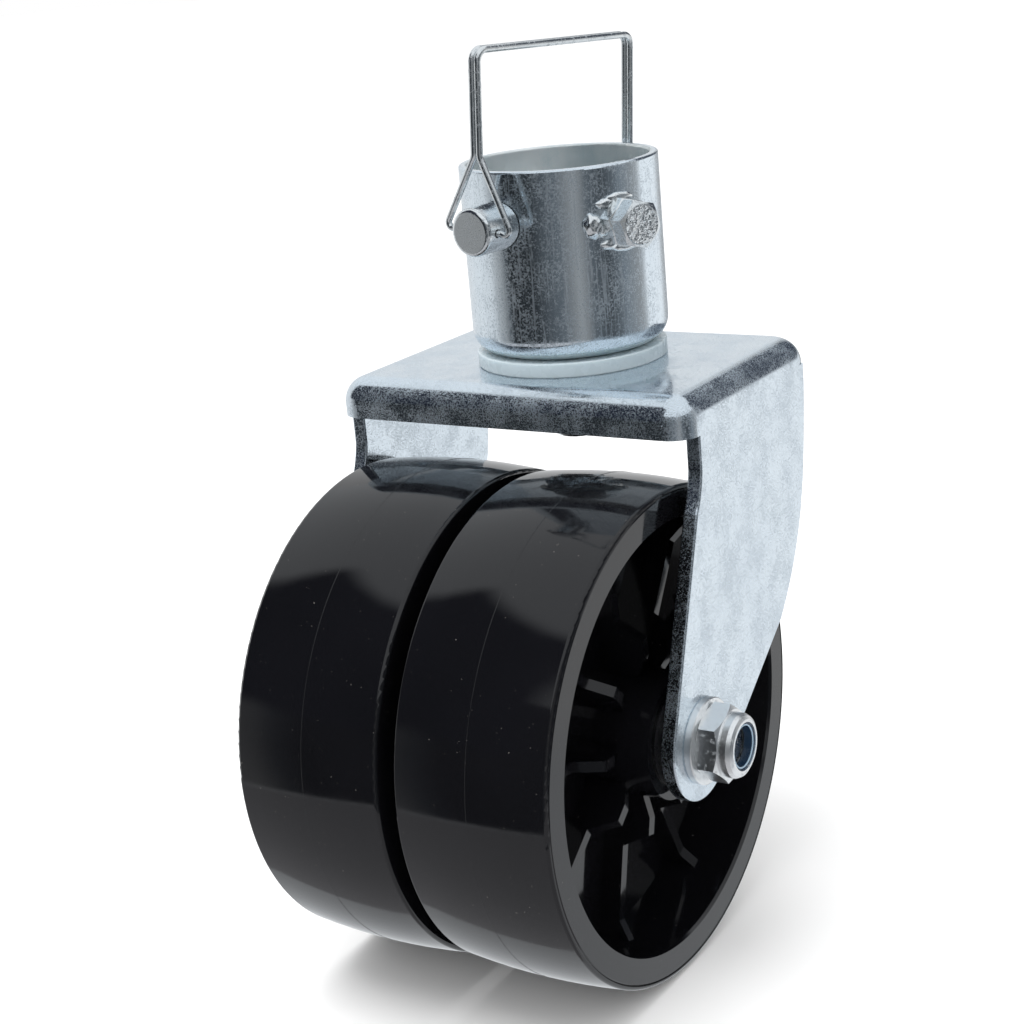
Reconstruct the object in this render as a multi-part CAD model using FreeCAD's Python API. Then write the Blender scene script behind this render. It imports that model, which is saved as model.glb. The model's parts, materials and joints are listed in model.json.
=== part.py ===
"""Dual wheel caster for a trailer jack.

Two plastic wheels share one axle bolt under a pressed steel fork. The fork turns about an upright
kingpin below a round socket, which takes the jack's tube and holds it with a lock pin and a set bolt.

Frame: millimetres. The origin is the centre of the socket's mouth, on the swivel axis. +Z points up
out of the socket, X lies along the axle, and the wheels trail towards -Y.
"""
import FreeCAD, Part
import math
import os

V = FreeCAD.Vector
X_AXIS = V(1, 0, 0)
Y_AXIS = V(0, 1, 0)
Z_AXIS = V(0, 0, 1)

# socket
SOCKET_R = 30.3
SOCKET_WALL = 2.6
SOCKET_HEIGHT = 57.2
SOCKET_FLOOR = 3.0
SOCKET_EDGE_R = 7.0
LIP_R = 0.8

# swivel stack below the socket
RUN_GAP = 0.1
RING_THICK = 4.5
RING_R = 29.4
KING_R = 8.0
KING_FIT = 0.05
KING_AF = 24.0
KING_HEAD = 10.0
KING_TIP = 15.0
BUSH_R = 10.0
BUSH_FLANGE_R = 17.0
BUSH_FLANGE = 2.0
KING_WASHER = 2.5
KING_WASHER_R = 15.0
KING_NUT_HEIGHT = 12.5

# fork, pressed from one sheet
SHEET = 4.6
FORK_HALF_WIDTH = 61.2
FORK_FRONT = -43.5
FORK_BACK = 44.0
FORK_BEND_R = 8.0
FORK_BACK_CORNER_R = 12.0
LEG_FRONT = -36.0
LEG_BACK = 36.3
FLANGE_DROP = 12.0
FORK_EDGE_R = 0.7

# axle
AXLE_Y = -45.0
AXLE_Z = -163.5
AXLE_R = 7.0
AXLE_AF = 20.7
AXLE_HEAD = 8.8
AXLE_NUT_HEIGHT = 11.0
AXLE_WASHER = 2.4
AXLE_WASHER_R = 13.0
AXLE_END_RECESS = 3.8
AXLE_INSERT_BORE = 6.1
EAR_R = 18.2
SLEEVE_R = 9.0

# wheels
WHEEL_R = 76.2
WHEEL_CROWN = 1.35
WHEEL_OUTER = 52.6
WHEEL_INNER = 2.75
FACE_ROUND = 1.2
SHUT_LINE = 0.4
RECESS_R = 65.1
RECESS_DRAFT = 2.0
WEB_THICK = 6.0
HUB_R = 19.0
HUB_BORE_R = 11.0
HUB_OUTER = 52.9
RIBS = 9
RIB_THICK = 3.2
RIB_PHASE = 16.0
BUSHING_LENGTH = 18.0
BUSHING_FLANGE = 1.0
BUSHING_FLANGE_R = 15.0

# lock pin and its wire bail
PIN_R = 7.15
PIN_Z = -15.6
PIN_ANGLE = -97.5
PIN_NEAR = 43.4
PIN_FAR = 36.3
PIN_NOSE_R = 4.0
PIN_NOSE_FROM = 31.4
PIN_NOSE_TAPER = 1.8
PIN_ROUND = 1.3
CROSS_HOLE_AT = 39.3
CROSS_HOLE_R = 1.3
WIRE_R = 1.0
BAIL_LEAN = 4.8
BAIL_HEIGHT = 51.7
BAIL_FAR_HEIGHT = 48.4
BAIL_SPLIT = 21.5
BAIL_FAR_LEG = 33.9
BAIL_FAR_SPLIT = 14.4
BAIL_FOOT = 13.2
BAIL_BEND_R = 3.4

# set bolt and its welded nut
SET_ANGLE = -24.3
SET_Z = -17.3
SET_R = 4.0
SET_AF = 13.0
SET_HEAD = 5.3
SET_NUT_TOP = 34.7
SET_TIP = 26.9

PLATE_TOP = -SOCKET_HEIGHT - RUN_GAP - RING_THICK
PLATE_UNDER = PLATE_TOP - SHEET
PLATE_INNER = FORK_HALF_WIDTH - SHEET


def cylinder(radius, height, base, axis=Z_AXIS):
    return Part.makeCylinder(radius, height, base, axis)


def tube(outer, inner, height, base, axis=Z_AXIS):
    hole_base = base - axis * 1.0
    return cylinder(outer, height, base, axis).cut(cylinder(inner, height + 2.0, hole_base, axis))


def place(shape, base, axis, roll=0.0):
    """Turn a shape built along +Z so that it runs along axis from base."""
    turned = shape.copy()
    spin = FreeCAD.Rotation(Z_AXIS, roll)
    turned.Placement = FreeCAD.Placement(base, FreeCAD.Rotation(Z_AXIS, axis) * spin)
    return turned


def radial(angle):
    """Unit vector in the horizontal plane at an angle from +X."""
    return V(math.cos(math.radians(angle)), math.sin(math.radians(angle)), 0)


def revolve(points, axis_base, axis):
    """Solid of revolution from a closed polygon of points."""
    face = Part.Face(Part.makePolygon(points + [points[0]]))
    return face.revolve(axis_base, axis, 360)


def chamfered_disc(radius, height, chamfer_low, chamfer_high):
    """Round blank along +Z with 30 degree chamfers, for trimming a hexagon's corners."""
    slope = math.tan(math.radians(30))
    low = chamfer_low / slope
    high = chamfer_high / slope
    points = [
        V(0, 0, 0),
        V(radius - low, 0, 0),
        V(radius, 0, chamfer_low),
        V(radius, 0, height - chamfer_high),
        V(radius - high, 0, height),
        V(0, 0, height),
    ]
    return revolve(points, V(0, 0, 0), Z_AXIS)


def hexagon(flats, height, chamfer_low=0.0, chamfer_high=1.0):
    """Hexagonal prism along +Z with its corners chamfered."""
    corner = flats / math.sqrt(3)
    points = [radial(60 * i) * corner for i in range(7)]
    prism = Part.Face(Part.makePolygon(points)).extrude(V(0, 0, height))
    return prism.common(chamfered_disc(corner, height, chamfer_low, chamfer_high))


def washer(outer, inner, thick):
    """Flat washer along +Z with a broken outer edge."""
    edge = 0.3
    points = [
        V(inner, 0, 0),
        V(outer - edge, 0, 0),
        V(outer, 0, edge),
        V(outer, 0, thick - edge),
        V(outer - edge, 0, thick),
        V(inner, 0, thick),
    ]
    return revolve(points, V(0, 0, 0), Z_AXIS)


def lock_nut(flats, height, bore, insert_r, insert_height):
    """Nut along +Z with a round collar that is open at the top for a nylon ring."""
    hex_height = height * 0.62
    collar_r = flats * 0.465
    mouth_r = bore + 0.15
    lip = 0.7
    body = hexagon(flats, hex_height, 0.9, 0.9)
    collar_points = [
        V(0, 0, hex_height - 1.0),
        V(collar_r, 0, hex_height - 1.0),
        V(collar_r, 0, height - 1.8),
        V(collar_r - 0.6, 0, height - 0.6),
        V(collar_r - 1.6, 0, height),
        V(0, 0, height),
    ]
    body = body.fuse(revolve(collar_points, V(0, 0, 0), Z_AXIS)).removeSplitter()
    body = body.cut(cylinder(bore, height + 2, V(0, 0, -1)))
    body = body.cut(cylinder(mouth_r, insert_height, V(0, 0, height - insert_height + 0.01)))
    seat = height - lip - insert_height
    return body.cut(cylinder(insert_r, insert_height, V(0, 0, seat)))


def insert_ring(height, bore, insert_r, insert_height):
    """Nylon ring that sits in a lock nut's collar."""
    lip = 0.7
    return tube(insert_r, bore, insert_height, V(0, 0, height - lip - insert_height))


def round_wire(points, bends, radius):
    """Round wire through points, with an arc of the matching bend radius at each inner point."""
    edges = []
    start = points[0]
    for before, corner, after, bend in zip(points, points[1:], points[2:], bends):
        back = (before - corner).normalize()
        ahead = (after - corner).normalize()
        half = back.getAngle(ahead) / 2
        reach = bend / math.tan(half)
        middle = (back + ahead).normalize() * (bend / math.sin(half) - bend)
        edges.append(Part.LineSegment(start, corner + back * reach).toShape())
        arc = Part.Arc(corner + back * reach, corner + middle, corner + ahead * reach)
        edges.append(arc.toShape())
        start = corner + ahead * reach
    edges.append(Part.LineSegment(start, points[-1]).toShape())
    path = Part.Wire(edges)
    circle = Part.Circle(points[0], (points[1] - points[0]).normalize(), radius)
    return path.makePipeShell([Part.Wire(circle.toShape())], True, False)


# ---- socket ----


def socket_cup():
    bottom = -SOCKET_HEIGHT
    body = cylinder(SOCKET_R, SOCKET_HEIGHT, V(0, 0, bottom))
    low_edge = [e for e in body.Edges if e.BoundBox.ZMax < bottom + 0.01]
    body = body.makeFillet(SOCKET_EDGE_R, low_edge)
    inner_r = SOCKET_R - SOCKET_WALL
    depth = SOCKET_HEIGHT - SOCKET_FLOOR
    hollow = cylinder(inner_r, depth + 5, V(0, 0, bottom + SOCKET_FLOOR))
    low_edge = [e for e in hollow.Edges if e.BoundBox.ZMax < bottom + SOCKET_FLOOR + 0.01]
    hollow = hollow.makeFillet(SOCKET_EDGE_R - SOCKET_WALL, low_edge)
    body = body.cut(hollow)
    mouth = [e for e in body.Edges if e.BoundBox.ZMin > -0.01]
    body = body.makeFillet(LIP_R, mouth)
    pin_way = radial(PIN_ANGLE)
    body = body.cut(cylinder(PIN_R + 0.25, 80, V(0, 0, PIN_Z) - pin_way * 40, pin_way))
    body = body.cut(cylinder(SET_R + 0.4, 40, V(0, 0, SET_Z), radial(SET_ANGLE)))
    return body.cut(cylinder(KING_R + KING_FIT, 20, V(0, 0, bottom - 5)))


def set_bolt_nut():
    """Nut whose foot is saddled to the socket's round wall and welded there."""
    foot = SOCKET_R - 1.2
    nut = hexagon(SET_AF + 0.4, SET_NUT_TOP - foot, 0.0, 0.9)
    nut = nut.cut(cylinder(SET_R + 0.08, 20, V(0, 0, -1)))
    nut = place(nut, radial(SET_ANGLE) * foot + V(0, 0, SET_Z), radial(SET_ANGLE), 51)
    return nut.cut(cylinder(SOCKET_R, SOCKET_HEIGHT, V(0, 0, -SOCKET_HEIGHT)))


def set_bolt():
    under_head = SET_NUT_TOP + RUN_GAP
    head = hexagon(SET_AF, SET_HEAD, 0.0, 1.0)
    shank = cylinder(SET_R, under_head - SET_TIP, V(0, 0, SET_TIP - under_head))
    tip = [e for e in shank.Edges if e.BoundBox.ZMax < SET_TIP - under_head + 0.01]
    shank = shank.makeChamfer(0.8, tip)
    bolt = head.fuse(shank)
    return place(bolt, radial(SET_ANGLE) * under_head + V(0, 0, SET_Z), radial(SET_ANGLE), 51)


# ---- swivel ----


def kingpin_bolt():
    seat = -SOCKET_HEIGHT + SOCKET_FLOOR + KING_WASHER
    tip = PLATE_UNDER - BUSH_FLANGE - RUN_GAP - KING_WASHER - KING_TIP
    shank = cylinder(KING_R, seat - tip, V(0, 0, tip))
    low_edge = [e for e in shank.Edges if e.BoundBox.ZMax < tip + 0.01]
    shank = shank.makeChamfer(1.2, low_edge)
    return shank.fuse(place(hexagon(KING_AF, KING_HEAD, 0.0, 1.6), V(0, 0, seat), Z_AXIS))


def kingpin_head_washer():
    disc = washer(KING_WASHER_R, KING_R + KING_FIT, KING_WASHER)
    return place(disc, V(0, 0, -SOCKET_HEIGHT + SOCKET_FLOOR), Z_AXIS)


def kingpin_nut_washer():
    top = PLATE_UNDER - BUSH_FLANGE - RUN_GAP
    disc = washer(KING_WASHER_R, KING_R + KING_FIT, KING_WASHER)
    return place(disc, V(0, 0, top - KING_WASHER), Z_AXIS)


def kingpin_nut():
    top = PLATE_UNDER - BUSH_FLANGE - RUN_GAP - KING_WASHER
    nut = lock_nut(KING_AF, KING_NUT_HEIGHT, KING_R + KING_FIT, KING_R + 1.9, 3.6)
    return place(nut, V(0, 0, top), V(0, 0, -1), 30)


def kingpin_nut_insert():
    top = PLATE_UNDER - BUSH_FLANGE - RUN_GAP - KING_WASHER
    ring = insert_ring(KING_NUT_HEIGHT, KING_R + KING_FIT, KING_R + 1.9, 3.6)
    return place(ring, V(0, 0, top), V(0, 0, -1))


def swivel_ring():
    """Nylon ring that the socket turns on."""
    ring = washer(RING_R, BUSH_R + 0.4, RING_THICK)
    return place(ring, V(0, 0, PLATE_TOP), Z_AXIS)


def swivel_bush():
    """Flanged nylon bush around the kingpin, pressed up into the fork's top plate."""
    inner = KING_R + 0.08
    top = PLATE_TOP
    under = PLATE_UNDER
    points = [
        V(inner, 0, top),
        V(BUSH_R, 0, top),
        V(BUSH_R, 0, under),
        V(BUSH_FLANGE_R, 0, under),
        V(BUSH_FLANGE_R, 0, under - BUSH_FLANGE),
        V(inner, 0, under - BUSH_FLANGE),
    ]
    return revolve(points, V(0, 0, 0), Z_AXIS)


# ---- fork ----


def rounded_box(inset):
    """Box with rounded upright and top edges, as deep as the flanges, set in from the outside."""
    low = V(-FORK_HALF_WIDTH + inset, FORK_FRONT + inset, PLATE_TOP - 40)
    width = 2 * (FORK_HALF_WIDTH - inset)
    depth = FORK_BACK - FORK_FRONT - 2 * inset
    box = Part.makeBox(width, depth, 40 - inset, low)
    back = [e for e in box.Edges if e.BoundBox.ZLength > 1 and e.BoundBox.YMin > 0]
    box = box.makeFillet(FORK_BACK_CORNER_R - inset, back)
    rounded = []
    for edge in box.Edges:
        bounds = edge.BoundBox
        front_upright = bounds.ZLength > 1 and bounds.YMax < 0
        on_top = bounds.ZMin > PLATE_TOP - inset - 0.01
        if front_upright or on_top:
            rounded.append(edge)
    return box.makeFillet(FORK_BEND_R - inset, rounded)


def fork_cap():
    shell = rounded_box(0.0).cut(rounded_box(SHEET))
    waste = Part.makeBox(400, 400, 100, V(-200, -200, PLATE_TOP - FLANGE_DROP - 100))
    return shell.cut(waste)


def fork_leg(side):
    """Side plate: front and back edges that run tangent to the rounded ear at the axle."""
    top = PLATE_TOP - FORK_BEND_R
    front_top = V(0, LEG_FRONT, -84.0)
    front_bend = V(0, LEG_FRONT - 1.5, -90.2)
    front_low = V(0, LEG_FRONT - 4.3, -95.9)
    back_top = V(0, LEG_BACK, -76.0)
    shoulder = V(0, LEG_BACK - 4.0, -107.0)
    elbow = V(0, LEG_BACK - 24.6, -145.9)
    axle = V(0, AXLE_Y, AXLE_Z)
    front_touch = tangent_point(front_low, axle, EAR_R, 1)
    back_touch = tangent_point(elbow, axle, EAR_R, -1)
    ear_low = axle + (front_touch + back_touch - axle * 2).normalize() * EAR_R
    bulge = (shoulder + elbow) * 0.5 + V(0, 2.6, -1.3)
    edges = [
        Part.LineSegment(V(0, front_top.y, top), front_top).toShape(),
        Part.Arc(front_top, front_bend, front_low).toShape(),
        Part.LineSegment(front_low, front_touch).toShape(),
        Part.Arc(front_touch, ear_low, back_touch).toShape(),
        Part.LineSegment(back_touch, elbow).toShape(),
        Part.Arc(elbow, bulge, shoulder).toShape(),
        Part.Arc(shoulder, (shoulder + back_top) * 0.5 + V(0, 0.5, 0), back_top).toShape(),
        Part.LineSegment(back_top, V(0, back_top.y, top)).toShape(),
        Part.LineSegment(V(0, back_top.y, top), V(0, front_top.y, top)).toShape(),
    ]
    plate = Part.Face(Part.Wire(edges)).extrude(V(SHEET, 0, 0))
    rim = [e for e in plate.Edges if e.BoundBox.XLength < 0.01 and e.BoundBox.ZMin < top - 0.01]
    rim = [e for e in rim if e.BoundBox.ZMax < top + 0.01]
    plate = plate.makeFillet(FORK_EDGE_R, rim)
    start = PLATE_INNER if side > 0 else -FORK_HALF_WIDTH
    plate.translate(V(start, 0, 0))
    return plate.cut(cylinder(AXLE_R + 0.1, 20, V(start - 5, AXLE_Y, AXLE_Z), X_AXIS))


def tangent_point(outside, centre, radius, turn):
    """Point where a line from outside touches a circle in the YZ plane."""
    away = outside - centre
    lean = math.acos(radius / away.Length)
    return centre + FreeCAD.Rotation(X_AXIS, math.degrees(lean) * turn).multVec(away).normalize() * radius


def fork_frame():
    frame = fork_cap().fuse([fork_leg(1), fork_leg(-1)]).removeSplitter()
    return frame.cut(cylinder(BUSH_R, 20, V(0, 0, PLATE_TOP - 10)))


# ---- axle ----


def axle_point(x):
    return V(x, AXLE_Y, AXLE_Z)


def axle_bolt():
    seat = -FORK_HALF_WIDTH - AXLE_WASHER
    end = FORK_HALF_WIDTH + AXLE_WASHER + AXLE_NUT_HEIGHT - AXLE_END_RECESS
    head = place(hexagon(AXLE_AF, AXLE_HEAD, 0.0, 1.4), axle_point(seat), V(-1, 0, 0), 12)
    shank = cylinder(AXLE_R, end - seat, axle_point(seat), X_AXIS)
    tip = [e for e in shank.Edges if e.BoundBox.XMin > end - 0.01]
    return shank.makeChamfer(0.9, tip).fuse(head)


def axle_nut():
    nut = lock_nut(AXLE_AF, AXLE_NUT_HEIGHT, AXLE_R + 0.05, AXLE_R + 1.5, 2.6)
    return place(nut, axle_point(FORK_HALF_WIDTH + AXLE_WASHER), X_AXIS, 50)


def axle_nut_insert():
    ring = insert_ring(AXLE_NUT_HEIGHT, AXLE_INSERT_BORE, AXLE_R + 1.5, 2.6)
    return place(ring, axle_point(FORK_HALF_WIDTH + AXLE_WASHER), X_AXIS)


def axle_washers():
    disc = washer(AXLE_WASHER_R, AXLE_R + 0.3, AXLE_WASHER)
    right = place(disc, axle_point(FORK_HALF_WIDTH), X_AXIS)
    left = place(disc, axle_point(-FORK_HALF_WIDTH - AXLE_WASHER), X_AXIS)
    return Part.makeCompound([right, left])


def axle_sleeve():
    return tube(SLEEVE_R, AXLE_R + 0.1, 2 * PLATE_INNER, axle_point(-PLATE_INNER), X_AXIS)


def side_spacers():
    """Steel rings on the sleeve between each hub and the fork."""
    gap = 0.15
    start = HUB_OUTER + BUSHING_FLANGE + gap
    right = tube(12.5, SLEEVE_R + 0.1, PLATE_INNER - start, axle_point(start), X_AXIS)
    left = tube(12.5, SLEEVE_R + 0.1, PLATE_INNER - start, axle_point(-PLATE_INNER), X_AXIS)
    return Part.makeCompound([right, left])


def centre_spacer():
    """Ring on the sleeve that keeps the two wheels apart."""
    half = WHEEL_INNER - BUSHING_FLANGE - 0.15
    return tube(12.5, SLEEVE_R + 0.1, 2 * half, axle_point(-half), X_AXIS)


# ---- wheels, modelled on +X and mirrored for the left ----


def wheel_tyre():
    """Crowned tread with rounded shoulders and a fine shut line on its face, solid to the axis."""
    edge_r = WHEEL_R - WHEEL_CROWN
    face_r = edge_r - FACE_ROUND
    middle = (WHEEL_INNER + WHEEL_OUTER) / 2
    corner = FACE_ROUND * (1 - math.sqrt(0.5))

    def at(x, r):
        return V(x, AXLE_Y, AXLE_Z + r)

    edges = [
        Part.LineSegment(at(WHEEL_INNER, 0), at(WHEEL_INNER, face_r)).toShape(),
        Part.Arc(
            at(WHEEL_INNER, face_r),
            at(WHEEL_INNER + corner, edge_r - corner),
            at(WHEEL_INNER + FACE_ROUND, edge_r),
        ).toShape(),
        Part.Arc(
            at(WHEEL_INNER + FACE_ROUND, edge_r), at(middle, WHEEL_R), at(WHEEL_OUTER - FACE_ROUND, edge_r)
        ).toShape(),
        Part.Arc(
            at(WHEEL_OUTER - FACE_ROUND, edge_r),
            at(WHEEL_OUTER - corner, edge_r - corner),
            at(WHEEL_OUTER, face_r),
        ).toShape(),
        Part.LineSegment(at(WHEEL_OUTER, face_r), at(WHEEL_OUTER - SHUT_LINE, face_r - 0.1)).toShape(),
        Part.LineSegment(at(WHEEL_OUTER - SHUT_LINE, face_r - 0.1), at(WHEEL_OUTER, face_r - 0.6)).toShape(),
        Part.LineSegment(at(WHEEL_OUTER, face_r - 0.6), at(WHEEL_OUTER, 0)).toShape(),
        Part.LineSegment(at(WHEEL_OUTER, 0), at(WHEEL_INNER, 0)).toShape(),
    ]
    return Part.Face(Part.Wire(edges)).revolve(axle_point(0), X_AXIS, 360)


def recess(face_x, web_x):
    """Tapered round pocket from a face of the wheel to its web, with a rounded mouth edge."""
    way = 1 if face_x > web_x else -1
    mouth_round = 1.0
    points = [
        V(face_x + way, AXLE_Y, AXLE_Z),
        V(face_x + way, AXLE_Y, AXLE_Z + RECESS_R + mouth_round),
        V(face_x, AXLE_Y, AXLE_Z + RECESS_R + mouth_round * 0.4),
        V(face_x - way * mouth_round, AXLE_Y, AXLE_Z + RECESS_R),
        V(web_x, AXLE_Y, AXLE_Z + RECESS_R - RECESS_DRAFT),
        V(web_x, AXLE_Y, AXLE_Z),
    ]
    return revolve(points, axle_point(0), X_AXIS)


def rib(index, web_x, out):
    """Flat rib between hub and rim. out is +1 on the face side and -1 on the inner side."""
    foot = -1.0
    profile = [
        (HUB_R - 2.0, foot),
        (HUB_R - 2.0, 11.5),
        (25.6, 15.0),
        (31.0, 15.0),
        (35.5, 6.5),
        (58.5, 6.5),
        (RECESS_R + 1.0, 11.5),
        (RECESS_R + 1.0, foot),
    ]
    points = [V(web_x + out * height, -RIB_THICK / 2, r) for r, height in profile]
    plate = Part.Face(Part.makePolygon(points + [points[0]])).extrude(V(0, RIB_THICK, 0))
    turn = RIB_PHASE + index * 360.0 / RIBS
    plate.Placement = FreeCAD.Placement(axle_point(0), FreeCAD.Rotation(X_AXIS, turn - 90))
    return plate


def wheel(side):
    middle = (WHEEL_INNER + WHEEL_OUTER) / 2
    web_out = middle + WEB_THICK / 2
    web_in = middle - WEB_THICK / 2
    body = wheel_tyre()
    body = body.cut(recess(WHEEL_OUTER, web_out))
    body = body.cut(recess(WHEEL_INNER, web_in))
    hub = cylinder(HUB_R, HUB_OUTER - WHEEL_INNER, axle_point(WHEEL_INNER), X_AXIS)
    ribs = [rib(i, web_out, 1) for i in range(RIBS)] + [rib(i, web_in, -1) for i in range(RIBS)]
    body = body.fuse([hub] + ribs).removeSplitter()
    body = body.cut(cylinder(HUB_BORE_R, 80, axle_point(-5), X_AXIS))
    if side < 0:
        return body.mirror(V(0, 0, 0), X_AXIS)
    return body


def wheel_bushings(side):
    """Two flanged plain bushings, one in each end of a wheel's hub."""
    inner = SLEEVE_R + 0.08
    outer_bush = bushing(HUB_OUTER, 1, inner)
    inner_bush = bushing(WHEEL_INNER, -1, inner)
    pair = Part.makeCompound([outer_bush, inner_bush])
    if side < 0:
        return pair.mirror(V(0, 0, 0), X_AXIS)
    return pair


def bushing(hub_face, way, inner):
    """Bushing with its flange against the hub face; way points out of the hub."""
    points = [
        V(hub_face + way * BUSHING_FLANGE, AXLE_Y, AXLE_Z + inner),
        V(hub_face + way * BUSHING_FLANGE, AXLE_Y, AXLE_Z + BUSHING_FLANGE_R),
        V(hub_face, AXLE_Y, AXLE_Z + BUSHING_FLANGE_R),
        V(hub_face, AXLE_Y, AXLE_Z + HUB_BORE_R),
        V(hub_face - way * BUSHING_LENGTH, AXLE_Y, AXLE_Z + HUB_BORE_R),
        V(hub_face - way * BUSHING_LENGTH, AXLE_Y, AXLE_Z + inner),
    ]
    return revolve(points, axle_point(0), X_AXIS)


# ---- lock pin and bail ----


def pin_frame():
    """Placement of the pin: local +Z out of the near end, local X across, local Y along the bail's legs."""
    out = radial(PIN_ANGLE)
    lean = FreeCAD.Rotation(out, -BAIL_LEAN)
    upward = lean.multVec(Z_AXIS)
    across = upward.cross(out)
    matrix = FreeCAD.Matrix(
        across.x, upward.x, out.x, 0, across.y, upward.y, out.y, 0, across.z, upward.z, out.z, PIN_Z, 0, 0, 0, 1
    )
    return FreeCAD.Placement(matrix)


def lock_pin():
    """Pin with a rounded near end and, past the socket's far wall, a slimmer nose for the bail's loop."""
    shoulder = -PIN_NOSE_FROM
    neck = shoulder - PIN_NOSE_TAPER
    body = cylinder(PIN_R, PIN_NEAR - shoulder, V(0, 0, shoulder))
    body = body.makeFillet(PIN_ROUND, [e for e in body.Edges if e.BoundBox.ZMin > PIN_NEAR - 0.01])
    taper = Part.makeCone(PIN_NOSE_R, PIN_R, PIN_NOSE_TAPER, V(0, 0, neck), Z_AXIS)
    nose = cylinder(PIN_NOSE_R, PIN_FAR + neck, V(0, 0, -PIN_FAR))
    nose = nose.makeFillet(PIN_ROUND, [e for e in nose.Edges if e.BoundBox.ZMax < -PIN_FAR + 0.01])
    pin = body.fuse([taper, nose]).removeSplitter()
    pin = pin.cut(cylinder(CROSS_HOLE_R, 40, V(-20, 0, CROSS_HOLE_AT), X_AXIS))
    pin.Placement = pin_frame()
    return pin


def bail_wire():
    """One wire: both ends hook into the pin's cross hole, and its far loop drops over the pin's nose."""
    strand = WIRE_R + 0.03
    side = PIN_NOSE_R + WIRE_R + 0.8
    tip = -PIN_FAR - WIRE_R - 0.8
    far = -BAIL_FAR_LEG
    half = [
        V(2.6, 0, CROSS_HOLE_AT),
        V(BAIL_FOOT - 4.4, 0, CROSS_HOLE_AT),
        V(BAIL_FOOT, -1.6, CROSS_HOLE_AT),
        V(strand, BAIL_SPLIT, CROSS_HOLE_AT),
        V(strand, BAIL_HEIGHT, CROSS_HOLE_AT),
        V(strand, BAIL_FAR_HEIGHT, far),
        V(strand, BAIL_FAR_SPLIT, far),
        V(side, 0, far),
        V(side, 0, tip),
    ]
    mirrored = [V(-p.x, p.y, p.z) for p in reversed(half)]
    bends = [1.3, 1.6, 4.0, BAIL_BEND_R, BAIL_BEND_R, 4.0, 1.5, 2.0]
    wire = round_wire(half + mirrored, bends + list(reversed(bends)), WIRE_R)
    wire.Placement = pin_frame()
    return wire


PARTS = {
    "socket_cup": socket_cup,
    "set_bolt_nut": set_bolt_nut,
    "set_bolt": set_bolt,
    "lock_pin": lock_pin,
    "bail_wire": bail_wire,
    "kingpin_bolt": kingpin_bolt,
    "kingpin_head_washer": kingpin_head_washer,
    "kingpin_nut_washer": kingpin_nut_washer,
    "kingpin_nut": kingpin_nut,
    "kingpin_nut_insert": kingpin_nut_insert,
    "swivel_ring": swivel_ring,
    "swivel_bush": swivel_bush,
    "fork_frame": fork_frame,
    "axle_bolt": axle_bolt,
    "axle_nut": axle_nut,
    "axle_nut_insert": axle_nut_insert,
    "axle_washers": axle_washers,
    "axle_sleeve": axle_sleeve,
    "side_spacers": side_spacers,
    "centre_spacer": centre_spacer,
    "wheel_right": lambda: wheel(1),
    "wheel_left": lambda: wheel(-1),
    "wheel_right_bushings": lambda: wheel_bushings(1),
    "wheel_left_bushings": lambda: wheel_bushings(-1),
}

os.makedirs("parts", exist_ok=True)
for name, make in PARTS.items():
    shape = make()
    solids = len(shape.Solids)
    print(name, "solids", solids, "valid", shape.isValid(), "volume", round(shape.Volume, 1))
    shape.exportStep("parts/" + name + ".step")
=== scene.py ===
"""Looks for the dual wheel caster of a trailer jack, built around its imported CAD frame.

Metres, in the part's own frame: the origin is the centre of the socket's mouth, +Z points up out of it,
X lies along the axle and the wheels trail towards -Y.
"""

import json
import math

import bmesh
import bpy
from mathutils import Matrix, Vector

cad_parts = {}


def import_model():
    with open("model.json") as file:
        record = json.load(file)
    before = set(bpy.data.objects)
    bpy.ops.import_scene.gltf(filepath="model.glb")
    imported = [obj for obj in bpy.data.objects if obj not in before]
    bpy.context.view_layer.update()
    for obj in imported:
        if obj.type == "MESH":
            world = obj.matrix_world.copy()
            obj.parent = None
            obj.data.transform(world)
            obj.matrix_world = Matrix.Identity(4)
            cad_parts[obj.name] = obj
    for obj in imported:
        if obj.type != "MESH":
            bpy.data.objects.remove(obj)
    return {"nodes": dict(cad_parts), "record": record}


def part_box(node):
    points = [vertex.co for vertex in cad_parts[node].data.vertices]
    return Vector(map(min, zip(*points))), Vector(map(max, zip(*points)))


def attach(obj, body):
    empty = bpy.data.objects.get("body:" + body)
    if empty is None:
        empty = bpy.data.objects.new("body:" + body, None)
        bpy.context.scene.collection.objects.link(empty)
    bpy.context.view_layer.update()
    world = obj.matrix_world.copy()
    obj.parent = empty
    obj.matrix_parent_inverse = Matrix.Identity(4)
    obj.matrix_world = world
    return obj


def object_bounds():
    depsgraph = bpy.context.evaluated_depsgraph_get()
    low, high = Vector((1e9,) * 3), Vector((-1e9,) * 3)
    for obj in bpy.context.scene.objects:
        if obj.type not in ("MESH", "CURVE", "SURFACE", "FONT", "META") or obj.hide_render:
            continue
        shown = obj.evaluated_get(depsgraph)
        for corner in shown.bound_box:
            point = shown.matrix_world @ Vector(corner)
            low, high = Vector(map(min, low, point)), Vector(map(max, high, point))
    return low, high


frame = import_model()
cad_low, cad_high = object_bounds()
nodes = frame["nodes"]
scene = bpy.context.scene
MM = 0.001
WHITE = (1.0, 1.0, 1.0)

# ---- node helpers ----


def math_node(tree, operation, a, b=None, c=None, clamp=False):
    """Result of a math node on numbers, or on other nodes' outputs."""
    made = tree.nodes.new("ShaderNodeMath")
    made.operation = operation
    made.use_clamp = clamp
    for i, value in enumerate((a, b, c)):
        if value is None:
            continue
        if isinstance(value, (int, float)):
            made.inputs[i].default_value = value
        else:
            tree.links.new(value, made.inputs[i])
    return made.outputs[0]


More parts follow.
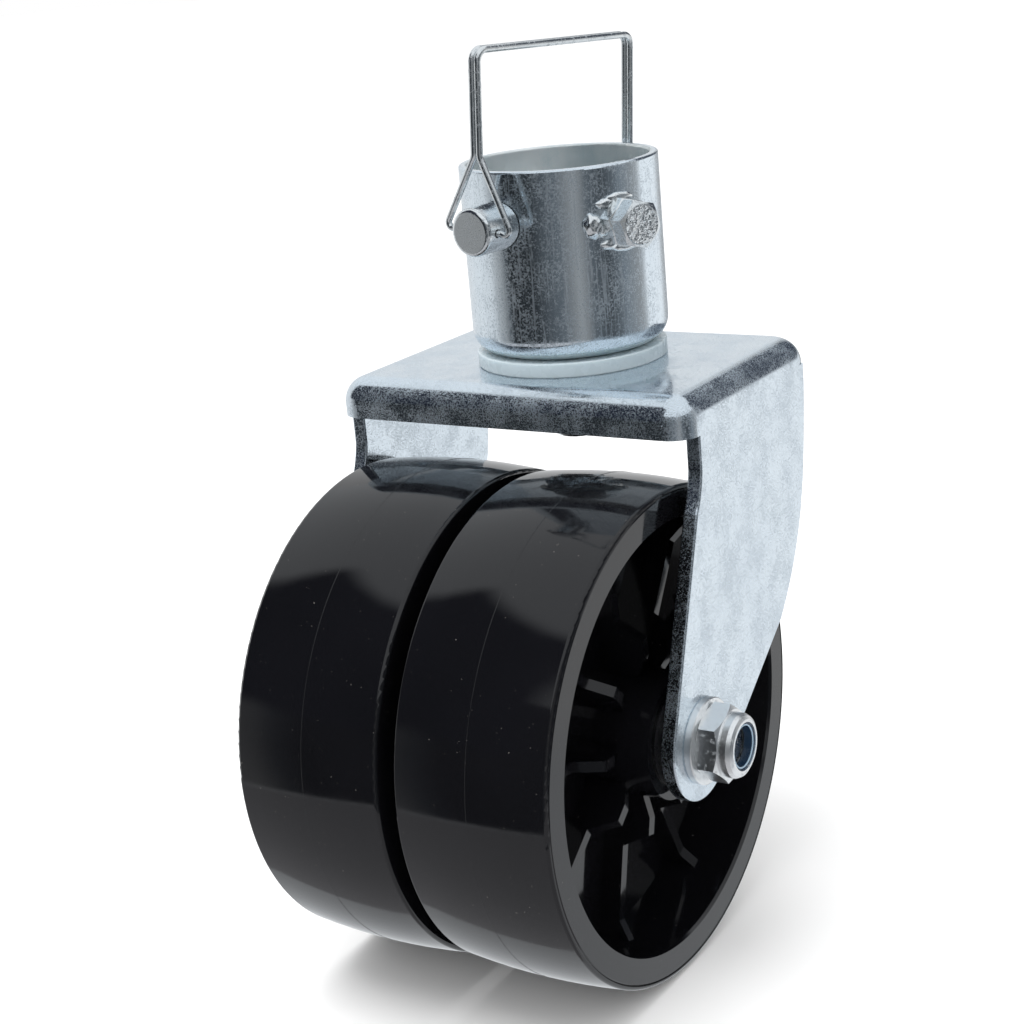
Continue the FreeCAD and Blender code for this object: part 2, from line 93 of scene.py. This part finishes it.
def ramp(tree, value, low, high, to_low=0.0, to_high=1.0, smooth=True):
    """Maps value from low..high to to_low..to_high, clamped, and eased at both ends if smooth."""
    made = tree.nodes.new("ShaderNodeMapRange")
    made.interpolation_type = "SMOOTHSTEP" if smooth else "LINEAR"
    made.inputs["From Min"].default_value = low
    made.inputs["From Max"].default_value = high
    made.inputs["To Min"].default_value = to_low
    made.inputs["To Max"].default_value = to_high
    tree.links.new(value, made.inputs["Value"])
    return made.outputs["Result"]


def mix_colour(tree, factor, first, second):
    """Colour between first, at factor 0, and second, at factor 1."""
    made = tree.nodes.new("ShaderNodeMix")
    made.data_type = "RGBA"
    for socket, value in ((made.inputs[0], factor), (made.inputs[6], first), (made.inputs[7], second)):
        if isinstance(value, (int, float)):
            socket.default_value = value
        elif isinstance(value, tuple):
            socket.default_value = (*value, 1.0)
        else:
            tree.links.new(value, socket)
    return made.outputs[2]


def noise(tree, coords, scale, detail=2.0, roughness=0.5, stretch=None, seed=0.0):
    """Noise in the part's own space, at a scale in features per metre."""
    where = coords
    if stretch is not None or seed:
        mapping = tree.nodes.new("ShaderNodeMapping")
        mapping.inputs["Location"].default_value = (seed, seed * 0.7, -seed)
        if stretch is not None:
            mapping.inputs["Scale"].default_value = stretch
        tree.links.new(coords, mapping.inputs["Vector"])
        where = mapping.outputs[0]
    made = tree.nodes.new("ShaderNodeTexNoise")
    made.inputs["Scale"].default_value = scale
    made.inputs["Detail"].default_value = detail
    made.inputs["Roughness"].default_value = roughness
    tree.links.new(where, made.inputs["Vector"])
    return made.outputs["Fac"]


def material(name):
    """New material with its shader and the coordinates that stay with the part."""
    made = bpy.data.materials.new(name)
    made.use_nodes = True
    tree = made.node_tree
    shader = tree.nodes["Principled BSDF"]
    coords = tree.nodes.new("ShaderNodeTexCoord").outputs["Object"]
    return made, tree, shader, coords


def bump(tree, height, distance, onto=None):
    """Normal of a surface with this relief, distance metres deep, on top of another normal if given."""
    made = tree.nodes.new("ShaderNodeBump")
    made.inputs["Distance"].default_value = distance
    made.inputs["Strength"].default_value = 1.0
    tree.links.new(height, made.inputs["Height"])
    if onto is not None:
        tree.links.new(onto, made.inputs["Normal"])
    return made.outputs["Normal"]


# ---- materials ----


FROST = (0.84, 0.90, 0.97)
FROST_TINT = 0.10
FROST_ROUGHNESS = 0.42
PIT_DEPTH = 2.2 * MM


def zinc(name, light, dark, smooth, rough, dense=0.3, size=1300, wave=0.01, upright=0.0, grit=0.02):
    """Bright zinc plating: cloudy tint, frosted flecks, upright scratches and a slightly wavy sheet.

    light and dark are its two tints, and smooth and rough the roughness between its flecks. A higher dense
    gives more flecks, and size is flecks per metre. upright is how strong the scratches are. wave and grit
    are how deep the waves and the flecks are, in millimetres.
    """
    made, tree, shader, coords = material(name)
    cloud = noise(tree, coords, 45, 3, 0.6)
    tint = mix_colour(tree, ramp(tree, cloud, 0.35, 0.65), dark, light)
    mottle = noise(tree, coords, size, 5, 0.75, None, 3.0)
    patches = ramp(tree, noise(tree, coords, 110, 3, 0.6, None, 5.0), 0.3, 0.7, 0.05, -0.05)
    flecks = ramp(tree, math_node(tree, "ADD", mottle, patches), 0.66 - 0.2 * dense, 0.71 - 0.2 * dense)
    marks = ramp(tree, noise(tree, coords, size * 0.45, 4, 0.7, None, 15.0), 0.57, 0.61)
    flecks = math_node(tree, "MAXIMUM", flecks, math_node(tree, "MULTIPLY", marks, 0.8))
    lines = noise(tree, coords, 1500, 3, 0.7, (1, 1, 0.03), 7.0)
    scratch = math_node(tree, "MULTIPLY", ramp(tree, lines, 0.5, 0.66), upright)
    wear = math_node(tree, "MAXIMUM", flecks, scratch)
    tint = mix_colour(tree, math_node(tree, "MULTIPLY", wear, FROST_TINT), tint, FROST)
    tree.links.new(tint, shader.inputs["Base Color"])
    shader.inputs["Metallic"].default_value = 1.0
    sheen = ramp(tree, cloud, 0.3, 0.7, smooth, rough)
    sheen = math_node(tree, "MULTIPLY_ADD", wear, FROST_ROUGHNESS, sheen, clamp=True)
    tree.links.new(sheen, shader.inputs["Roughness"])
    surface = bump(tree, noise(tree, coords, 90, 2, 0.5, None, 11.0), wave * MM)
    surface = bump(tree, mottle, grit * MM, surface)
    tree.links.new(surface, shader.inputs["Normal"])
    return made


def rough_face(made, axis, start):
    """Makes the metal pitted beyond start metres along an axis, as a struck bolt head is."""
    tree = made.node_tree
    shader = tree.nodes["Principled BSDF"]
    coords = tree.nodes.new("ShaderNodeTexCoord").outputs["Object"]
    along = tree.nodes.new("ShaderNodeVectorMath")
    along.operation = "DOT_PRODUCT"
    along.inputs[1].default_value = axis
    tree.links.new(coords, along.inputs[0])
    mask = ramp(tree, along.outputs["Value"], start - 0.1 * MM, start)
    pits = math_node(tree, "MULTIPLY", noise(tree, coords, 430, 2, 0.5, None, 9.0), mask)
    below = shader.inputs["Normal"].links[0].from_socket
    tree.links.new(bump(tree, pits, PIT_DEPTH, below), shader.inputs["Normal"])
    return made


def dull_inside(made, radius):
    """Makes the metal duller and paler within radius metres of the swivel axis, as the tube's inside is."""
    tree = made.node_tree
    shader = tree.nodes["Principled BSDF"]
    coords = tree.nodes.new("ShaderNodeTexCoord").outputs["Object"]
    flat = tree.nodes.new("ShaderNodeVectorMath")
    flat.operation = "MULTIPLY"
    flat.inputs[1].default_value = (1, 1, 0)
    tree.links.new(coords, flat.inputs[0])
    reach = tree.nodes.new("ShaderNodeVectorMath")
    reach.operation = "LENGTH"
    tree.links.new(flat.outputs[0], reach.inputs[0])
    inside = ramp(tree, reach.outputs["Value"], radius - 0.3 * MM, radius + 0.3 * MM, 1.0, 0.0)
    sheen = shader.inputs["Roughness"].links[0].from_socket
    sheen = math_node(tree, "MULTIPLY_ADD", inside, 0.3, sheen, clamp=True)
    tree.links.new(sheen, shader.inputs["Roughness"])
    tint = shader.inputs["Base Color"].links[0].from_socket
    shade = noise(tree, coords, 60, 3, 0.6, (1, 1, 0.4), 21.0)
    paler = mix_colour(tree, ramp(tree, shade, 0.35, 0.65), (0.78, 0.86, 0.88), (0.97, 1.0, 1.0))
    tree.links.new(mix_colour(tree, inside, tint, paler), shader.inputs["Base Color"])
    return made


def black_plastic():
    """Glossy black moulding with a few pale specks of dust."""
    made, tree, shader, coords = material("wheel_black")
    cloud = noise(tree, coords, 30, 2)
    shade = mix_colour(tree, cloud, (0.003, 0.003, 0.0036), (0.005, 0.005, 0.0064))
    specks = ramp(tree, noise(tree, coords, 1300, 1, 0.5, None, 5.0), 0.785, 0.80)
    shade = mix_colour(tree, math_node(tree, "MULTIPLY", specks, 0.25), shade, (0.35, 0.33, 0.30))
    tree.links.new(shade, shader.inputs["Base Color"])
    shader.inputs["Specular IOR Level"].default_value = 0.5
    haze = noise(tree, coords, 140, 4, 0.65, None, 4.0)
    tree.links.new(ramp(tree, haze, 0.35, 0.7, 0.055, 0.1), shader.inputs["Roughness"])
    surface = bump(tree, noise(tree, coords, 60, 2, 0.5, None, 2.0), 0.02 * MM)
    tree.links.new(surface, shader.inputs["Normal"])
    return made


def nylon(name, light, dark, glow):
    """Nearly plain plastic. glow is how much light passes under its skin."""
    made, tree, shader, coords = material(name)
    tint = mix_colour(tree, noise(tree, coords, 120, 3), dark, light)
    tree.links.new(tint, shader.inputs["Base Color"])
    shader.inputs["Subsurface Weight"].default_value = glow
    shader.inputs["Subsurface Radius"].default_value = (1.0, 1.0, 1.0)
    shader.inputs["Subsurface Scale"].default_value = 3.0 * MM
    haze = noise(tree, coords, 300, 3)
    tree.links.new(ramp(tree, haze, 0.3, 0.7, 0.22, 0.34), shader.inputs["Roughness"])
    return made


def joint_axis(name):
    """Axis of a joint, as the record gives it."""
    for joint in frame["record"]["behaviour"]["joints"]:
        if joint["name"] == name:
            return Vector(joint["axis"])


def farthest(node, axis):
    """How far a node reaches along an axis, in metres."""
    return max(vertex.co.dot(axis) for vertex in nodes[node].data.vertices)


def dress():
    """Gives every CAD node the material of its slot, and three of them a finish of their own."""
    pale = (0.77, 0.85, 0.91)
    cool = (0.73, 0.81, 0.875)
    bright = (0.88, 0.91, 0.92)
    silver = (0.82, 0.86, 0.88)
    slots = {
        "zinc_fork": zinc("zinc_fork", pale, cool, 0.06, 0.10, 0.82, 2300, 0.003, 0.1, 0.003),
        "zinc_socket": zinc("zinc_socket", pale, cool, 0.04, 0.08, 0.68, 1700, 0.012, 0.8, 0.01),
        "zinc_fastener": zinc("zinc_fastener", bright, silver, 0.15, 0.23, size=1900, grit=0.006),
        "zinc_wire": zinc("zinc_wire", (0.84, 0.87, 0.88), (0.70, 0.74, 0.76), 0.14, 0.24),
        "steel_plain": zinc("steel_plain", (0.56, 0.57, 0.58), (0.42, 0.43, 0.44), 0.3, 0.45),
        "wheel_black": black_plastic(),
        "nylon_natural": nylon("nylon_natural", (0.49, 0.57, 0.61), (0.46, 0.54, 0.58), 0.8),
        "nylon_blue": nylon("nylon_blue", (0.012, 0.035, 0.075), (0.006, 0.02, 0.045), 0.0),
        "bushing": nylon("bushing", (0.012, 0.012, 0.014), (0.006, 0.006, 0.008), 0.0),
    }
    for part in frame["record"]["subparts"]:
        piece = nodes[part["node"]]
        piece.data.materials.clear()
        piece.data.materials.append(slots[part["material_slot"]])

    satin = zinc("zinc_satin", (0.95, 0.96, 0.96), (0.90, 0.92, 0.93), 0.30, 0.38, 0.1, 1900, grit=0.004)
    for name in ("axle_nut", "axle_washers"):
        nodes[name].data.materials[0] = satin

    wall_middle = farthest("socket_cup", Vector((1, 0, 0))) - 1.8 * MM
    dull_inside(slots["zinc_socket"], wall_middle)

    axis = joint_axis("set_bolt_slide")
    head = zinc("zinc_set_bolt", bright, (0.74, 0.78, 0.80), 0.14, 0.22, 0.5, grit=0.01)
    nodes["set_bolt"].data.materials[0] = rough_face(head, axis, farthest("set_bolt", axis))
    return slots


# ---- small details ----


def shade_smooth(mesh):
    for polygon in mesh.polygons:
        polygon.use_smooth = True


def new_piece(name, mesh_data, body, made):
    """Links a finished mesh and says what it rides on and what it is made of."""
    mesh = bpy.data.meshes.new(name)
    mesh_data.to_mesh(mesh)
    mesh_data.free()
    shade_smooth(mesh)
    mesh.materials.append(made)
    piece = bpy.data.objects.new(name, mesh)
    scene.collection.objects.link(piece)
    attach(piece, body)
    return piece


def hoop(name, centre, radius, section, body, made):
    """Thin ring about an axis along X. section is its outline as (along X, outwards) millimetres."""
    steps = 240
    ring_mesh = bmesh.new()
    rings = []
    for i in range(steps):
        turn = 2 * math.pi * i / steps
        ring = []
        for along, outward in section:
            reach = radius + outward * MM
            spot = Vector((along * MM, reach * math.cos(turn), reach * math.sin(turn)))
            ring.append(ring_mesh.verts.new(centre + spot))
        rings.append(ring)
    count = len(section)
    for i, ring in enumerate(rings):
        after = rings[(i + 1) % steps]
        for k in range(count):
            ring_mesh.faces.new((ring[k], ring[(k + 1) % count], after[(k + 1) % count], after[k]))
    bmesh.ops.recalc_face_normals(ring_mesh, faces=ring_mesh.faces)
    return new_piece(name, ring_mesh, body, made)


def parting_line(name, node, body, made):
    """Fine raised seam left by the mould, round the middle of a tread."""
    low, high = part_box(node)
    section = [(-0.18, -0.25), (-0.06, 0.06), (0.06, 0.06), (0.18, -0.25)]
    return hoop(name, (low + high) / 2, (high.z - low.z) / 2, section, body, made)


def insert_edge_highlight(made):
    """Pale ring round the bore of the axle nut's nylon ring; its pale colour is a painted highlight on the
    bore's edge.
    """
    low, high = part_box("axle_nut_insert")
    middle = (low + high) / 2
    centre = Vector((high.x, middle.y, middle.z))
    turns = [math.radians(45 * i) for i in range(8)]
    thick = 0.26
    section = [(0.05 + thick * math.cos(t), thick * math.sin(t)) for t in turns]
    return hoop("nut_insert_edge_highlight", centre, 6.3 * MM, section, "fork", made)


def lump(into, middle, axes, wobble):
    """Adds one uneven blob. axes are its three half sizes as vectors."""
    start = len(into.verts)
    bmesh.ops.create_icosphere(into, subdivisions=4, radius=1.0)
    into.verts.ensure_lookup_table()
    for vertex in list(into.verts)[start:]:
        p = vertex.co.copy()
        waves = math.sin(5.1 * p.x + 2.0 * p.z) * math.cos(4.3 * p.y - 1.3) * math.sin(3.7 * p.z + 0.8)
        vertex.co = middle + (axes[0] * p.x + axes[1] * p.y + axes[2] * p.z) * (1 + wobble * waves)


# Each bead's place round the socket and up from the bolt, then its half width, half height and how far it
# stands out, in millimetres.
BEADS = (
    (-9.6, 0.0, 3.1, 3.9, 3.0),
    (-7.0, -1.4, 2.6, 2.4, 1.8),
    (-4.8, 5.9, 3.6, 1.7, 1.3),
    (0.0, 7.5, 4.6, 1.4, 1.2),
    (-4.6, -6.0, 3.2, 1.6, 1.2),
    (0.6, -7.4, 4.6, 1.3, 1.1),
)


def weld(made):
    """Lumpy weld that holds the set bolt's nut, heaviest beside it, run into one skin."""
    low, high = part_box("socket_cup")
    radius = (high.x - low.x) / 2
    axis = joint_axis("set_bolt_slide")
    heading = math.atan2(axis.y, axis.x)
    nut_low, nut_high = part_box("set_bolt_nut")
    height = (nut_low.z + nut_high.z) / 2
    beads = bmesh.new()
    for across, up, wide, tall, proud in BEADS:
        turn = heading + across * MM / radius
        out = Vector((math.cos(turn), math.sin(turn), 0))
        side = Vector((-out.y, out.x, 0))
        middle = out * (radius - 0.2 * MM) + Vector((0, 0, height + up * MM))
        lump(beads, middle, (side * wide * MM, Vector((0, 0, tall * MM)), out * proud * MM), 0.12)
    piece = new_piece("set_nut_weld", beads, "socket", made)
    skin = piece.modifiers.new("skin", "REMESH")
    skin.mode = "VOXEL"
    skin.voxel_size = 0.25 * MM
    ease = piece.modifiers.new("ease", "SMOOTH")
    ease.iterations = 6
    shaped = bpy.data.meshes.new_from_object(piece.evaluated_get(bpy.context.evaluated_depsgraph_get()))
    piece.modifiers.clear()
    piece.data = shaped
    shade_smooth(shaped)
    return piece


def details(slots):
    """Adds the small mesh pieces that the CAD model leaves out."""
    parting_line("tread_line_right", "wheel_right", "right_wheel", slots["wheel_black"])
    parting_line("tread_line_left", "wheel_left", "left_wheel", slots["wheel_black"])
    # The pale blue of this ring is a painted highlight on the edge of the nut insert's bore.
    insert_edge_highlight(nylon("insert_edge_highlight", (0.34, 0.46, 0.56), (0.24, 0.34, 0.44), 0.0))
    weld(slots["zinc_fastener"])


# ---- studio ----

CAMERA_AIM = Vector((-10.1, -27.2, -105.4)) * MM
CAMERA_AZIMUTH = 33.28
CAMERA_ELEVATION = 17.02
CAMERA_ROLL = -5.13
CAMERA_DISTANCE = 625 * MM
CAMERA_LENS = 71.0


def camera():
    """Looks at the object from its front right, a little above and slightly rolled."""
    data = bpy.data.cameras.new("camera")
    data.lens = CAMERA_LENS
    data.sensor_width = 36
    data.clip_start = 0.01
    data.clip_end = 50
    shot = bpy.data.objects.new("camera", data)
    scene.collection.objects.link(shot)
    azimuth = math.radians(CAMERA_AZIMUTH)
    elevation = math.radians(CAMERA_ELEVATION)
    back = Vector((
        math.sin(azimuth) * math.cos(elevation),
        -math.cos(azimuth) * math.cos(elevation),
        math.sin(elevation),
    ))
    turn = (-back).to_track_quat("-Z", "Y").to_matrix()
    turn = turn @ Matrix.Rotation(math.radians(CAMERA_ROLL), 3, "Z")
    shot.matrix_world = Matrix.Translation(CAMERA_AIM + back * CAMERA_DISTANCE) @ turn.to_4x4()
    scene.camera = shot


# The studio's walls, as a heading in degrees and the brightness there.
AROUND = (
    (-180, 0.82), (-158, 0.72), (-149, 0.46), (-140, 0.34), (-133, 0.09), (-127, 0.02),
    (-98, 0.03), (-84, 0.075), (-66, 0.12), (-52, 0.24), (-46, 0.32), (-38, 0.24),
    (-30, 0.11), (-12, 0.06), (2, 0.11), (12, 0.19), (33, 0.30), (40, 0.42),
    (46, 0.94), (80, 0.94), (88, 0.55), (102, 0.36), (112, 0.80), (180, 0.82),
)
SKY = (0.84, 0.87, 0.90)
FRONT_DARK = (0.02, 0.024, 0.036)
CORNER_DARK = (0.07, 0.08, 0.10)
GROUND = (0.50, 0.50, 0.52)
FILL = (1.2, 1.2, 1.2)


def around(tree, azimuth):
    """Brightness of the studio's walls by heading: dark in front, pale behind, and the dark parts bluer."""
    made = tree.nodes.new("ShaderNodeValToRGB")
    tree.links.new(ramp(tree, azimuth, -180, 180, smooth=False), made.inputs["Fac"])
    stops = made.color_ramp.elements
    while len(stops) > 1:
        stops.remove(stops[-1])
    for i, (heading, level) in enumerate(AROUND):
        stop = stops[0] if i == 0 else stops.new((heading + 180) / 360)
        stop.position = (heading + 180) / 360
        blue = 1.25 if level < 0.2 else 1.03
        stop.color = (level, level * (1 + blue) / 2, level * blue, 1)
    return made.outputs["Color"]


def between(tree, value, low, high, soft):
    """1 within low..high and 0 outside, eased over soft on both sides of each end."""
    rise = ramp(tree, value, low - soft, low + soft)
    fall = ramp(tree, value, high - soft, high + soft, 1.0, 0.0)
    return math_node(tree, "MULTIPLY", rise, fall)


def world():
    """White studio for the light, with dark and pale zones for the metal and plastic to reflect.

    Diffuse surfaces get an even fill and the backdrop is white, so only reflections see the zones.
    """
    made = bpy.data.worlds.new("studio")
    scene.world = made
    made.use_nodes = True
    tree = made.node_tree
    background = tree.nodes["Background"]
    direction = tree.nodes.new("ShaderNodeTexCoord").outputs["Generated"]
    split = tree.nodes.new("ShaderNodeSeparateXYZ")
    tree.links.new(direction, split.inputs[0])
    azimuth = math_node(tree, "ARCTAN2", split.outputs[1], split.outputs[0])
    azimuth = math_node(tree, "MULTIPLY", azimuth, 180 / math.pi)
    elevation = math_node(tree, "ARCSINE", split.outputs[2])
    elevation = math_node(tree, "MULTIPLY", elevation, 180 / math.pi)

    walls = between(tree, elevation, -23.5, 28, 1)
    front = math_node(
        tree, "MULTIPLY", between(tree, azimuth, -166, -112, 4), between(tree, elevation, 6, 55, 3)
    )
    corner = math_node(
        tree, "MULTIPLY", between(tree, azimuth, 46, 100, 4), between(tree, elevation, 2, 40, 4)
    )
    below = ramp(tree, elevation, -25, -23, 1.0, 0.0)
    ground = math_node(tree, "MULTIPLY", below, between(tree, azimuth, -185, 10, 5))
    seen = mix_colour(tree, walls, SKY, around(tree, azimuth))
    seen = mix_colour(tree, front, seen, FRONT_DARK)
    seen = mix_colour(tree, corner, seen, CORNER_DARK)
    seen = mix_colour(tree, ground, seen, GROUND)
    rays = tree.nodes.new("ShaderNodeLightPath")
    seen = mix_colour(tree, rays.outputs["Is Diffuse Ray"], seen, FILL)
    seen = mix_colour(tree, rays.outputs["Is Camera Ray"], seen, WHITE)
    tree.links.new(seen, background.inputs["Color"])
    background.inputs["Strength"].default_value = 1.0


def overhead_light():
    """Wide soft lamp above the object. Reflections don't show it."""
    data = bpy.data.lights.new("overhead", "AREA")
    data.shape = "RECTANGLE"
    data.size = 1.2
    data.size_y = 0.9
    data.energy = 18
    lamp = bpy.data.objects.new("overhead", data)
    scene.collection.objects.link(lamp)
    lamp.visible_glossy = False
    at = Vector((-0.2, -0.5, 1.4))
    towards = Vector((0, 0, -0.1))
    lamp.location = at
    lamp.rotation_euler = (towards - at).to_track_quat("-Z", "Y").to_euler()


def floor():
    """Plain pale floor under the wheels. Reflections show the world's own ground in its place."""
    level = cad_low.z
    half = 6.0
    mesh = bpy.data.meshes.new("floor")
    corners = [(-half, -half, level), (half, -half, level), (half, half, level), (-half, half, level)]
    mesh.from_pydata(corners, [], [(0, 1, 2, 3)])
    piece = bpy.data.objects.new("floor", mesh)
    scene.collection.objects.link(piece)
    made, tree, shader, coords = material("floor")
    tint = mix_colour(tree, noise(tree, coords, 3, 2), (0.93, 0.93, 0.93), (0.95, 0.95, 0.95))
    tree.links.new(tint, shader.inputs["Base Color"])
    shader.inputs["Roughness"].default_value = 0.9
    mesh.materials.append(made)
    piece.visible_glossy = False


def studio():
    camera()
    world()
    floor()
    overhead_light()
    scene.view_settings.view_transform = "Standard"


slots = dress()
details(slots)
studio()
